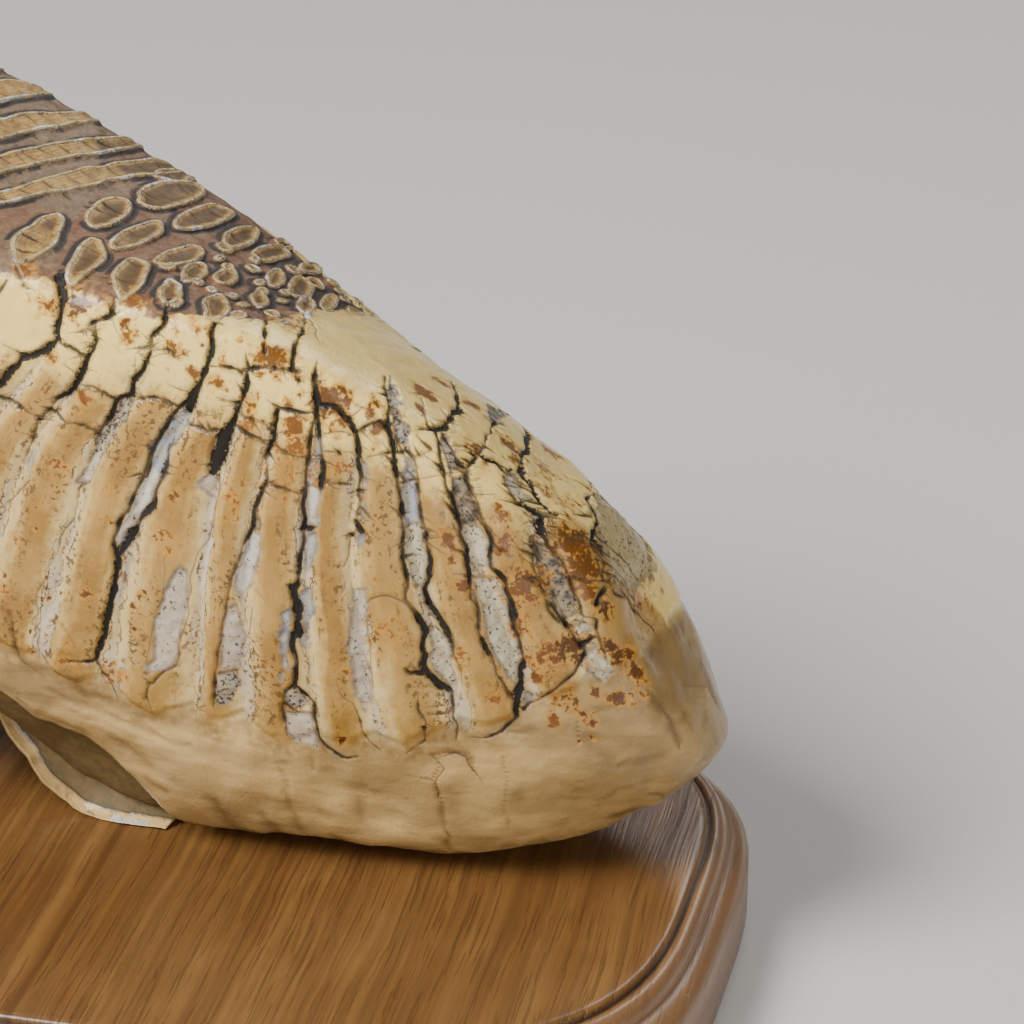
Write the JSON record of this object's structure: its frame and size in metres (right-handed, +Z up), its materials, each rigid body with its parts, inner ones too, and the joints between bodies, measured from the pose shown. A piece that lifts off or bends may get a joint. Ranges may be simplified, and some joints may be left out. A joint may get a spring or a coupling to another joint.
{
  "type": "fossil mammoth molar on a wooden base",
  "caption": "Fossil mammoth molar with ribbed sides and a worn, ridged grinding top, standing on an oblong wooden base with a routed edge.",
  "frame": {"origin": "centre of the base's flat underside", "axes": "+X along the base towards the tooth's low, unworn end; +Y across it, away from the pictured side; +Z up"},
  "size_m": [0.28, 0.156, 0.1552],
  "materials": {
    "fossil_tooth": "polished fossil tooth: ivory and tan, black cracks, grey cement",
    "lacquered_wood": "golden-brown open-grained wood under satin lacquer"
  },
  "bodies": {
    "root": {"molar": "fossil_tooth", "wooden_base": "lacquered_wood"}
  },
  "joints": []
}
